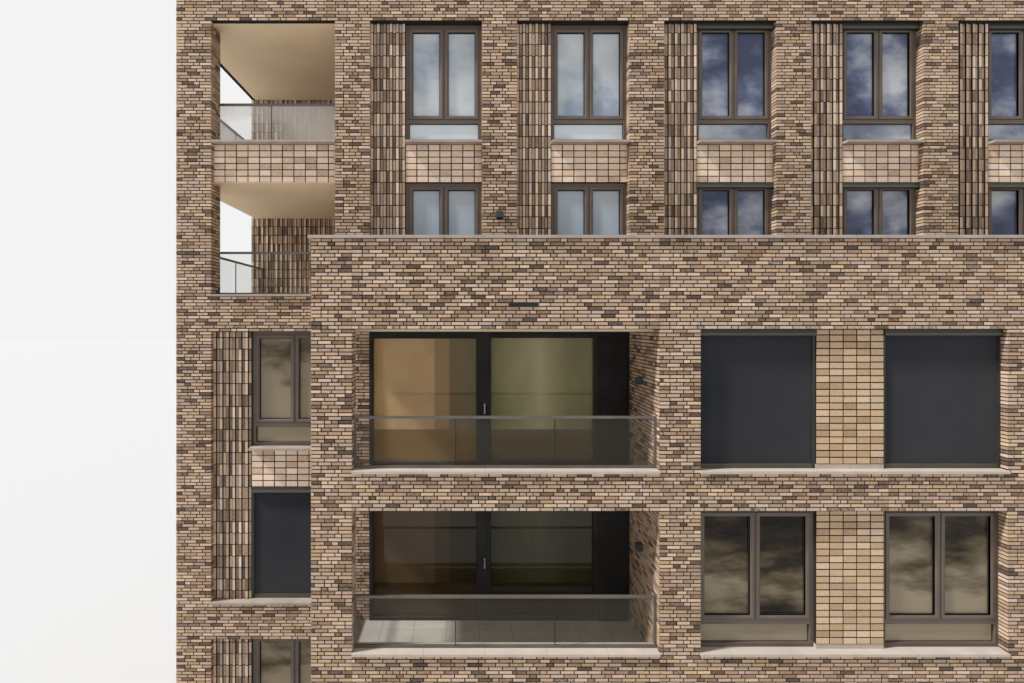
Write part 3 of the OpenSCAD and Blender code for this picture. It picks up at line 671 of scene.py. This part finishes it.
def indoors(x, y, z):
    """True behind the glass and on the roof, where no facing bricks are laid."""
    in_block = abs(x) < -LEFT - SEE_IN and MAIN + SEE_IN < y < REAR - SEE_IN
    if z > ROOF:
        return in_block
    if z > TERRACE - UPSTAND:
        in_loggia = abs(x) > -LEFT - CORNER_BAY - 0.05 and y < MAIN + SIDE_FIRST + 0.1
        return in_block and not in_loggia
    room = abs(x) < FRONT_W / 2 - 2 * BAY - FRONT_WALL and FRONT + 0.19 < y < MAIN + 0.5
    behind = abs(x) < FRONT_W / 2 and MAIN - 0.08 < y < MAIN + 0.5
    return in_block or room or behind


def fixed_random(*values):
    """Three steady random numbers for a place, so that both faces of a corner brick agree."""
    steady = random.Random(repr([round(float(v), 2) for v in values]))
    return [steady.random(), steady.random(), 0.0]


# Bricks are one to four quarters long, and what is left of a course is laid as these
QUARTER = BRICK / 4
ENDS = {1: (1,), 2: (2,), 3: (3,), 4: (4,), 5: (2, 3), 6: (2, 4)}


def lay(start, end, first, below, chance):
    """Bricks of one course between two arrises: mostly stretchers, with joints clear of those below."""
    count = max(1, round((end - start + JOINT) / QUARTER))
    step = (end - start + JOINT) / count
    sizes = [first] if count > 8 else []
    while count - sum(sizes) > 6:
        choices = [4, 2, 3] if chance.random() < 0.86 else [2, 3, 4]
        at = [start + (sum(sizes) + c) * step for c in choices]
        clear = [c for c, x in zip(choices, at) if all(abs(x - j) > 0.03 for j in below)]
        sizes.append((clear or choices)[0])
    last = list(ENDS[count - sum(sizes)])
    chance.shuffle(last)
    edges = np.cumsum([0] + sizes + last) * step + start
    return [(a, b - JOINT) for a, b in zip(edges[:-1], edges[1:])]


def bloomed(course, chance):
    """Lime bloom: strong in the first course over the heads of the front volume, rare elsewhere."""
    if any(course == round((floor_z(i) + TALL_HEAD) / COURSE) for i in range(4)):
        return chance.uniform(0.05, 0.6)
    return chance.uniform(0.2, 0.6) if chance.random() < 0.02 else 0.0


def wall_name(axis, sign, offset):
    """Which piece the bricks on a plane belong to."""
    names = {(1, -1, MAIN): "front_wall_bricks", (1, -1, FRONT): "front_volume_bricks",
             (1, 1, REAR): "rear_wall_bricks", (0, -1, LEFT): "left_wall_bricks",
             (0, 1, -LEFT): "right_wall_bricks"}
    for (a, s, at), name in names.items():
        if (a, s) == (axis, sign) and abs(at - offset) < 0.001:
            return name
    return "reveal_bricks_x" if axis == 0 else "reveal_bricks_y"


class Bond:
    """Joints and dark bricks of the course in hand and of the one below it."""

    def __init__(self):
        self.joints, self.dark = set(), []
        self.rise()

    def rise(self):
        """Goes up to the next course."""
        self.joints_below, self.dark_below = self.joints, self.dark
        self.joints, self.dark = set(), []

    def near_dark(self, start, end):
        """True if a dark brick touches this stretch from below or ends just before it."""
        return any(p < end + JOINT and q > start for p, q in self.dark_below + self.dark[-1:])


def lay_stretch(laid, wall, stretch, course, bond, chance):
    """Lays one course between two arrises, where the end bricks take their tone from their place."""
    bottom = course * COURSE + JOINT / 2
    first = chance.choice((4, 3)) if (course + wall.axis) % 2 else chance.choice((2, 2, 3, 1))
    bricks = lay(*stretch, first, bond.joints_below, chance)
    for k, (start, end) in enumerate(bricks):
        is_first, is_last = k == 0, k == len(bricks) - 1
        tone = [chance.random(), chance.random(), bloomed(course, chance)]
        if tone[0] < DARK and bond.near_dark(start, end):
            tone[0] = chance.random()
        if tone[0] < DARK:
            bond.dark.append((start - JOINT, end + 2 * JOINT))
        if is_first or is_last:
            corner = [0, 0]
            corner[wall.axis] = wall.offset
            corner[1 - wall.axis] = start if is_first else end
            tone = fixed_random(course, *corner)
        if wall.axis == 1 and is_first:
            start -= BRICK_OUT
        if wall.axis == 1 and is_last:
            end += BRICK_OUT
        laid.add(wall, start, end, bottom, bottom + COURSE - JOINT, BRICK_OUT, tone)
        bond.joints.add(end)


def brickwork():
    """Lays bricks on every upright outer face of the brick solids."""
    pieces = {}
    shown = upright_faces(BRICK_NODES)
    covers = upright_faces(sorted(NODES))
    chance = random.Random(7)
    for (axis, sign, offset), tris in sorted(shown.items()):
        along = 1 - axis
        at = offset / 1e4
        wall = Wall(axis, sign, at)
        hidden = [covers[k] for k in ((axis, -sign, offset + e) for e in (-1, 0, 1)) if k in covers]
        laid = pieces.setdefault(wall_name(axis, sign, at), Laid())
        bond = Bond()
        low, high = tris[:, :, 2].min(), tris[:, :, 2].max()
        for course in range(round(low / COURSE), round(high / COURSE)):
            z = (course + 0.5) * COURSE
            stretches = crossed(tris, along, z)
            if (axis, sign) == (1, -1) and abs(at - FRONT) < 0.001:
                stretches = without(stretches, [[x - JOINT / 2, x + JOINT / 2] for x in SEAMS])
            for cover in hidden:
                stretches = without(stretches, crossed(cover, along, z))
            for stretch in stretches:
                middle = [0, 0, z]
                middle[axis] = at + sign * 0.1
                middle[along] = sum(stretch) / 2
                if not indoors(*middle):
                    lay_stretch(laid, wall, stretch, course, bond, chance)
            bond.rise()
    for name, laid in pieces.items():
        laid.mesh(name, brick_look, "brick")


brickwork()


# Ribs and tiles

def outward(sign, offset):
    """True for a face that looks away from the middle of the block."""
    return offset * sign > 0


def rows(bottom, top, origin, pitch):
    """Rows of that pitch, counted from origin and cut to bottom and top."""
    first = math.floor((bottom - origin) / pitch + 1e-6)
    last = math.ceil((top - origin) / pitch - 1e-6)
    for k in range(first, last):
        low, high = origin + k * pitch, origin + (k + 1) * pitch
        low, high = max(low, bottom), min(high, top)
        if high - low > 2 * JOINT:
            yield low + JOINT / 2, high - JOINT / 2


def spandrel_bottom(z):
    """Foot of the tile spandrel of the pair of storeys that holds z."""
    pair = max(0, math.floor((z - PLINTH) / (2 * STOREY)))
    return floor_z(2 * pair) + SPANDREL_FOOT


def rib_faces(name):
    """Upright rectangles one course wide, with those that an edge splits put together."""
    found = rectangles(name)
    whole = {r for r in found if abs(r[4] - r[3] - COURSE) < 0.002}
    parts = [r for r in found if r[4] - r[3] < COURSE - 0.002]
    for left in parts:
        for right in parts:
            meet = left[:3] == right[:3] and left[4] == right[3]
            if meet and abs(right[4] - left[3] - COURSE) < 0.002:
                whole.add((*left[:4], right[4], max(left[5], right[5]), min(left[6], right[6])))
    return sorted(r for r in whole if r[6] - r[5] > 0.3)


def ribs(name, piece):
    """Upright bricks on the face of every rib; the ribs set back get a darker ramp, painted shade in the
    recesses.
    """
    raised, recessed = Laid(), Laid()
    chance = random.Random(name)
    faces = rib_faces(name)
    fronts = {}
    for axis, sign, offset, *_ in faces:
        fronts.setdefault((axis, sign), set()).add(offset * sign)
    for axis, sign, offset, a, b, bottom, top in faces:
        level = offset * sign
        behind = any(abs(other - level - RELIEF) < 0.001 for other in fronts[axis, sign])
        laid = recessed if behind else raised
        wall = Wall(axis, sign, offset)
        for low, high in rows(bottom, top, spandrel_bottom((bottom + top) / 2), BRICK):
            tone = [chance.random(), chance.random(), 0.0]
            laid.add(wall, a + RIB_GAP, b - RIB_GAP, low, high, RIB_OUT, tone)
    raised.mesh(piece, rib_look, "ribbed_brick")
    recessed.mesh(piece + "_recessed_painted_shade", recess_painted_shade_look, "ribbed_brick")


def columns(start, end, mirrored):
    """Columns of tiles from one edge of a panel, the last one cut to what is left."""
    for k in range(math.ceil((end - start - 0.02) / BRICK)):
        a, b = start + k * BRICK, min(start + (k + 1) * BRICK, end)
        if mirrored:
            a, b = start + end - b, start + end - a
        if b - a >= 0.03:
            yield a, b


def tiles(name, piece):
    """Tiles in straight rows and columns on the outer faces of the tile panels."""
    laid = Laid()
    chance = random.Random(name)
    spandrels = "spandrels" in name
    height = 2 * COURSE if spandrels else BRICK / 2
    for axis, sign, offset, a, b, bottom, top in rectangles(name):
        if b - a < NARROW or not outward(sign, offset):
            continue
        wall = Wall(axis, sign, offset)
        for c, d in columns(a, b, wall.right < 0):
            for low, high in rows(bottom, top, bottom, height):
                pale = chance.uniform(0.2, 0.5) if chance.random() < 0.04 else 0.0
                tone = [chance.random(), chance.random(), pale]
                inset = [TILE_JOINT / 2 + chance.uniform(0, TILE_PLAY) for _ in range(4)]
                laid.add(wall, c + inset[0], d - inset[1], low - JOINT / 2 + inset[2],
                         high + JOINT / 2 - inset[3], TILE_OUT, tone)
    laid.mesh(piece, spandrel_painted_light_look if spandrels else tile_look, "tile")


for name in RIB_NODES:
    ribs(name, name.replace("_strips", "_soldiers").replace("_walls", "_soldiers"))
for name in TILE_NODES:
    tiles(name, name + "_tiles")


# Windows: sashes and seals on the frames

FRAME_BAR = 0.066
SASH_BAR = 0.068
MULLION = 0.164
LOW_LIGHT = 0.307
TRANSOM = 0.145
GLASS_BACK = 0.046
GLASS_EDGE = FRAME_BAR / 2 + 0.0003
SASH = ((0.004, 0.0), (0.004, 0.010), (0.044, 0.010), (0.056, 0.002), (SASH_BAR, -0.003),
        (SASH_BAR, -GLASS_BACK))
BEAD = ((-0.014, 0.0), (-0.014, 0.004), (-0.002, 0.004), (0.004, -0.008), (0.004, -GLASS_BACK))
SEAL = ((-0.005, 0.0), (-0.003, 0.001), (0.003, 0.001), (0.005, 0.0))


def panes(name):
    """Outer faces of a glass node: the wall plane of its frame's face and the frame's box."""
    for axis, sign, offset, a, b, bottom, top in rectangles(name):
        if b - a < NARROW or not outward(sign, offset):
            continue
        wall = Wall(axis, sign, offset + sign * GLASS_BACK)
        u0, u1 = wall.across(a, b)
        yield wall, (u0 - GLASS_EDGE, bottom - GLASS_EDGE, u1 + GLASS_EDGE, top + GLASS_EDGE)


def has_doors(wall, box):
    """True for the two pairs of doors on the terrace and for the entrance."""
    if (wall.axis, wall.sign) != (1, -1):
        return False
    on_terrace = abs(box[1] - TERRACE - 0.05) < 0.01 and -8 < box[0] < -2.5
    return on_terrace or (box[1] < 1 and 0 < box[0] < 2)


def leaves(box, doors):
    """Boxes of the two casements of a window."""
    u0, z0, u1, z1 = box
    leaf = (u1 - u0 - 2 * FRAME_BAR - MULLION) / 2 + SASH_BAR
    foot = FRAME_BAR if doors else FRAME_BAR + LOW_LIGHT + TRANSOM - SASH_BAR
    for start in (u0 + FRAME_BAR, u1 - FRAME_BAR - leaf):
        yield start, z0 + foot, start + leaf, z1 - FRAME_BAR


def dress_windows(name, piece):
    """Sashes, beads and seals of the windows that a glass node closes; the black seal rings round the
    sashes are partly rubber and partly painted shade in the gaps.
    """
    sashes, seals = Shell(), Shell()
    for wall, box in panes(name):
        doors = has_doors(wall, box)
        for leaf in leaves(box, doors):
            sashes.ring(wall, leaf, SASH)
            seals.ring(wall, leaf, SEAL)
            inner = tuple(c + s * (SASH_BAR + 0.001) for c, s in zip(leaf, (1, 1, -1, -1)))
            seals.ring(wall, inner, ((0, -0.036), (0.009, -0.040), (0.009, -GLASS_BACK)))
        if not doors:
            u0, z0, u1, z1 = box
            low = (u0 + FRAME_BAR, z0 + FRAME_BAR, u1 - FRAME_BAR, z0 + FRAME_BAR + LOW_LIGHT)
            sashes.ring(wall, low, BEAD)
            seals.ring(wall, low, ((0.004, -0.036), (0.013, -0.040), (0.013, -GLASS_BACK)))
    sashes.mesh(piece + "_sashes", bronze_look, "bronze_paint")
    seals.mesh(piece + "_seals", seal_and_shade_look, "bronze_paint")


for side in SIDES:
    dress_windows(side + "_window_glass", side + "_window")


# Loggias

DOOR_POST = 0.266
DARK_PANEL = 0.592
GLAZED_HEAD = 0.182
GLAZED_BACK = 0.066
CEILING_BOARD = 0.042

# How far the ceilings run on past the glazing, behind the pier at the open side
PASSAGE = 0.36


def loggia_fronts():
    """Glazed walls of the front loggias: their plane, their box and True for the mirrored ones."""
    for axis, sign, offset, a, b, bottom, top in rectangles("loggia_glass"):
        if (axis, sign) == (1, -1) and b - a > 3:
            box = (a - GLASS_EDGE, bottom - GLASS_EDGE, b + GLASS_EDGE, top + GLASS_EDGE)
            yield Wall(axis, sign, offset + sign * GLAZED_BACK), box, a > 0


def flipped(box, part):
    """The part of a box, mirrored left to right within it."""
    return box[0] + box[2] - part[2], part[1], box[0] + box[2] - part[0], part[3]


def loggia_parts(box, mirrored):
    """Boxes of the fixed light, the sliding door and its handle in a glazed wall."""
    u0, z0, u1, z1 = box
    light = (u1 - u0 - 2 * FRAME_BAR - DOOR_POST - DARK_PANEL) / 2
    fixed = (u0 + FRAME_BAR, z0 + FRAME_BAR, u0 + FRAME_BAR + light, z1 - GLAZED_HEAD)
    start = fixed[2] + DOOR_POST
    door = (start - SASH_BAR, fixed[1] - 0.03, start + light + SASH_BAR / 2, fixed[3] + SASH_BAR)
    grip = (fixed[2] + 0.13, z0 + 1.0, fixed[2] + 0.16, z0 + 1.2)
    parts = (fixed, door, grip)
    return [flipped(box, part) for part in parts] if mirrored else parts


def panel_ribs(shell, wall, box, mirrored, count=17):
    """Upright ribs over the dark panel beside the sliding door."""
    u0, z0, u1, z1 = box
    step = (DARK_PANEL - FRAME_BAR) / count
    for k in range(count):
        part = (u1 - DARK_PANEL + k * step + 0.004, z0 + 0.004,
                u1 - DARK_PANEL + (k + 1) * step - 0.004, z1 - GLAZED_HEAD - 0.004)
        shell.block(wall, flipped(box, part) if mirrored else part, 0.02, 0.034, 0.005)


def dress_loggias():
    """Sashes, seals, handles, panel ribs and ceiling boards of the front loggias."""
    sashes, seals, handles, ribs_of_panel, boards = (Shell() for _ in range(5))
    for wall, box, mirrored in loggia_fronts():
        fixed, door, grip = loggia_parts(box, mirrored)
        sashes.ring(wall, fixed, BEAD)
        seals.ring(wall, fixed, ((0.004, -0.05), (0.012, -0.055), (0.012, -GLAZED_BACK)))
        sashes.ring(wall, door, ((0, 0), (0, 0.014), (0.05, 0.014), (0.066, 0.004), (SASH_BAR, -0.01)))
        # Black ring round the sliding door: partly seal, partly painted shade in the gap
        seals.ring(wall, door, ((-0.006, 0.0), (-0.004, 0.002), (0.002, 0.002)))
        handles.block(wall, grip, 0.02, 0.05, 0.006)
        for foot in (grip[1] + 0.02, grip[3] - 0.05):
            handles.block(wall, (grip[0] + 0.005, foot, grip[2] - 0.005, foot + 0.03), 0, 0.025)
        panel_ribs(ribs_of_panel, wall, box, mirrored)
        u0, z0, u1, z1 = box
        ceiling = (u0 - (0 if mirrored else PASSAGE), z1 - CEILING_BOARD,
                   u1 + (PASSAGE if mirrored else 0), z1 - 0.0005)
        boards.board(wall, ceiling, 0.001, FRONT_DEPTH - 0.03 - FRONT_WALL - 0.002)
    sashes.mesh("loggia_sashes", dark_look, "dark_paint")
    seals.mesh("loggia_seals", seal_and_shade_look, "dark_paint")
    handles.mesh("loggia_handles", handle_look, "rail_paint")
    ribs_of_panel.mesh("loggia_panel_ribs", dark_look, "dark_paint")
    boards.mesh("loggia_ceiling_boards", plaster_look, "plaster")


def corner_ceilings():
    """Plaster under the heads of the corner loggias, back to the outer leaf of brick."""
    boards = Shell()
    wall = Wall(1, -1, MAIN)
    inner, outer = -LEFT - CORNER_BAY, -LEFT - 0.1
    for side in (-1, 1):
        u0, u1 = sorted((side * inner, side * outer))
        for head in (floor_z(4) + SPANDREL_FOOT, floor_z(5) + TALL_HEAD):
            boards.board(wall, (u0, head - 0.012, u1, head - 0.0005), -SIDE_FIRST + 0.102, -0.1)
    boards.mesh("corner_loggia_plaster", plaster_look, "plaster")


dress_loggias()
corner_ceilings()


# Screens

def cloth(wall, a, b, bottom, top, across=32, down=40):
    """Points and faces of a lowered screen, which bows and waves a little."""
    points, faces = [], []
    for j in range(down + 1):
        for i in range(across + 1):
            s, t = i / across, j / down
            bow = 0.004 * math.sin(math.pi * s) * math.sin(math.pi * t)
            wave = 0.0008 * math.sin(9 * s + 4 * t)
            points.append(wall.point(a + (b - a) * s, bottom + (top - bottom) * t,
                                     -0.003 - bow + wave * math.sin(math.pi * s)))
    for j in range(down):
        for i in range(across):
            first = j * (across + 1) + i
            faces.append((first, first + 1, first + across + 2, first + across + 1))
    return points, faces


def screens():
    """Lowered screens, each with a bar along its lower edge."""
    bars = Shell()
    found = [r for r in rectangles("sun_screens") if r[:2] == (1, -1) and r[4] - r[3] > NARROW]
    for number, (axis, sign, offset, a, b, bottom, top) in enumerate(found, 1):
        wall = Wall(axis, sign, offset)
        points, faces = cloth(wall, a, b, bottom, top)
        piece = placed(f"sun_screen_{number}", points, faces, fabric_look)
        for face in piece.data.polygons:
            face.use_smooth = True
        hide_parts("sun_screens")
        bars.block(wall, (a + 0.002, bottom + 0.004, b - 0.002, bottom + 0.038), -0.003, 0.014)
        bars.block(wall, (a + 0.002, bottom + 0.040, b - 0.002, bottom + 0.074), -0.003, 0.009)
    bars.mesh("screen_bottom_bars", bar_look, "screen_box_paint")


def box_lids():
    """A folded lid on the front of each screen box, over the slot that the cloth comes out of; its paler
    paint is painted light on the box's lit foot.
    """
    lids = Shell()
    for axis, sign, offset, a, b, bottom, top in rectangles("screen_cassettes"):
        if (axis, sign) == (1, -1):
            lid = (a + 0.004, bottom + 0.004, b - 0.004, bottom + 0.05)
            lids.block(Wall(axis, sign, offset), lid, 0, 0.008)
    lids.mesh("screen_box_lids", bar_look, "screen_box_paint")


screens()
box_lids()


# Small things on the walls and the roof

SLOT_AT = 5.315
LAMP_W = 0.13
LAMP_OUT = 0.11


def roof_upstands():
    """Lengths of roofing dressed up the inner faces of the roof parapet."""
    shell = Shell()
    for name in ("roof_parapet", "roof_parapet_ends"):
        for axis, sign, offset, a, b, bottom, top in rectangles(name):
            if outward(sign, offset) or b - a < 2:
                continue
            wall = Wall(axis, sign, offset)
            if axis == 1:
                a, b = LEFT + WALL, -LEFT - WALL
            u0, u1 = wall.across(a, b)
            count = round(u1 - u0)
            step = (u1 - u0) / count
            for start in (u0 + k * step for k in range(count)):
                box = (start + 0.002, ROOF + 0.001, start + step - 0.002, top - 0.004)
                shell.block(wall, box, 0.0005, 0.006)
    shell.mesh("roof_upstands", roofing_look, "roofing")


def pane_joints():
    """Dark seals in the narrow gaps between the panes of the balustrades."""
    shell = Shell()
    found = [r for r in rectangles("balustrade_glass") if r[4] - r[3] > 0.3]
    for left in found:
        for right in found:
            if left[:3] == right[:3] and left[5:] == right[5:] and 0 < right[3] - left[4] < 0.02:
                wall = Wall(*left[:3])
                u0, u1 = wall.across(left[4], right[3])
                shell.block(wall, (u0 - 0.002, left[5] + 0.002, u1 + 0.002, left[6] - 0.002),
                            -0.006, 0.002, 0.001)
    shell.mesh("pane_joints", seal_and_shade_look, "rail_paint")


def vents():
    """Narrow overflow slots in the terrace parapet, each with a rim and a louvre, and a black sheet
    inside the rim as painted shade in the slot.
    """
    shell, slots = Shell(), Shell()
    wall = Wall(1, -1, FRONT)
    low, tall, rim = TERRACE - 0.255, 0.072, 0.009
    for centre in (-SLOT_AT, SLOT_AT):
        box = (centre - 0.24, low, centre + 0.24, low + tall)
        shell.ring(wall, box, ((0, 0), (0, 0.016), (rim, 0.016), (rim, 0.007)))
        # Black sheet inside the rim: painted shade in the slot
        slots.ring(wall, box, ((rim, 0.0065), (tall / 2 - 0.001, 0.0065)))
        louvre = (box[0] + rim, low + tall / 2 - 0.003, box[2] - rim, low + tall / 2 + 0.003)
        shell.block(wall, louvre, 0.007, 0.014, 0.001)
    shell.mesh("overflow_frames", lamp_look, "lamp_paint")
    slots.mesh("overflow_slots", seal_and_shade_look, "dark_paint")


def lamps():
    """Box lamps with a recessed lens under a hood."""
    shell = Shell()
    for axis, sign, offset, a, b, bottom, top in rectangles("wall_lamps"):
        on_pier = (axis, sign) == (1, -1) and abs(offset - MAIN + LAMP_OUT) < 0.002
        on_flank = axis == 0 and outward(sign, offset)
        if abs(b - a - LAMP_W) > 0.002 or not (on_pier or on_flank):
            continue
        wall = Wall(axis, sign, offset)
        u0, u1 = wall.across(a, b)
        shell.ring(wall, (u0 - 0.001, bottom - 0.001, u1 + 0.001, top + 0.001),
                   ((0, 0.002 - LAMP_OUT), (0, -0.002), (0.004, 0.001), (0.014, 0.001), (0.018, -0.004)))
        shell.block(wall, (u0 + 0.03, bottom + 0.025, u1 - 0.03, top - 0.055), 0, 0.004, 0.002)
    shell.mesh("lamp_housings", lamp_look, "lamp_paint")


roof_upstands()
pane_joints()
vents()
lamps()


# Floor, light and camera

def pale_floor(size=400):
    """A plain floor that is wide enough for every view."""
    mesh = bpy.data.meshes.new("floor")
    mesh.from_pydata([(-size, -size, 0), (size, -size, 0), (size, size, 0), (-size, size, 0)], [],
                     [(0, 1, 2, 3)])
    look = Look("floor")
    look.set(Base_Color=grey(0.6), Roughness=0.95)
    mesh.materials.append(look.material)
    linked("floor", mesh)


def key_light():
    """Soft light from the upper left."""
    lamp = bpy.data.lights.new("key", "SUN")
    lamp.energy = 4.0
    lamp.angle = math.radians(6)
    sun = linked("key", lamp)
    sun.rotation_mode = "QUATERNION"
    sun.rotation_quaternion = Vector(LIGHT_RUNS).to_track_quat("-Z", "Y")


def even_world():
    """Even light from all sides, and a pale background for the camera, metal and glass."""
    world = bpy.data.worlds.new("studio")
    bpy.context.scene.world = world
    tree = Tree(world)
    light = tree.node("Background", {"Color": grey(1.0), "Strength": 0.5})
    shown = tree.nodes["Background"]
    tree.put(shown.inputs["Color"], grey(0.9))
    tree.put(shown.inputs["Strength"], 1.0)
    path = tree.node("LightPath", {}).outputs
    seen = path["Is Camera Ray"]
    for way in ("Is Glossy Ray", "Is Transmission Ray"):
        seen = tree.math("MAXIMUM", seen, path[way])
    mix = tree.node("MixShader", {"Fac": seen})
    tree.put(mix.inputs[1], light.outputs["Background"])
    tree.put(mix.inputs[2], shown.outputs["Background"])
    tree.put(tree.nodes["World Output"].inputs["Surface"], mix.outputs["Shader"])


def camera():
    """Camera at the photograph's viewpoint, looking straight at the front."""
    lens = bpy.data.cameras.new("camera")
    lens.lens = LENS
    lens.sensor_width = 36
    lens.shift_x, lens.shift_y = SHIFT
    lens.clip_end = 1000
    eye = linked("camera", lens)
    eye.location = Vector(CAMERA_AT)
    eye.rotation_euler = (math.radians(90), 0, 0)
    bpy.context.scene.camera = eye


pale_floor()
key_light()
even_world()
camera()
bpy.context.scene.view_settings.view_transform = "Standard"
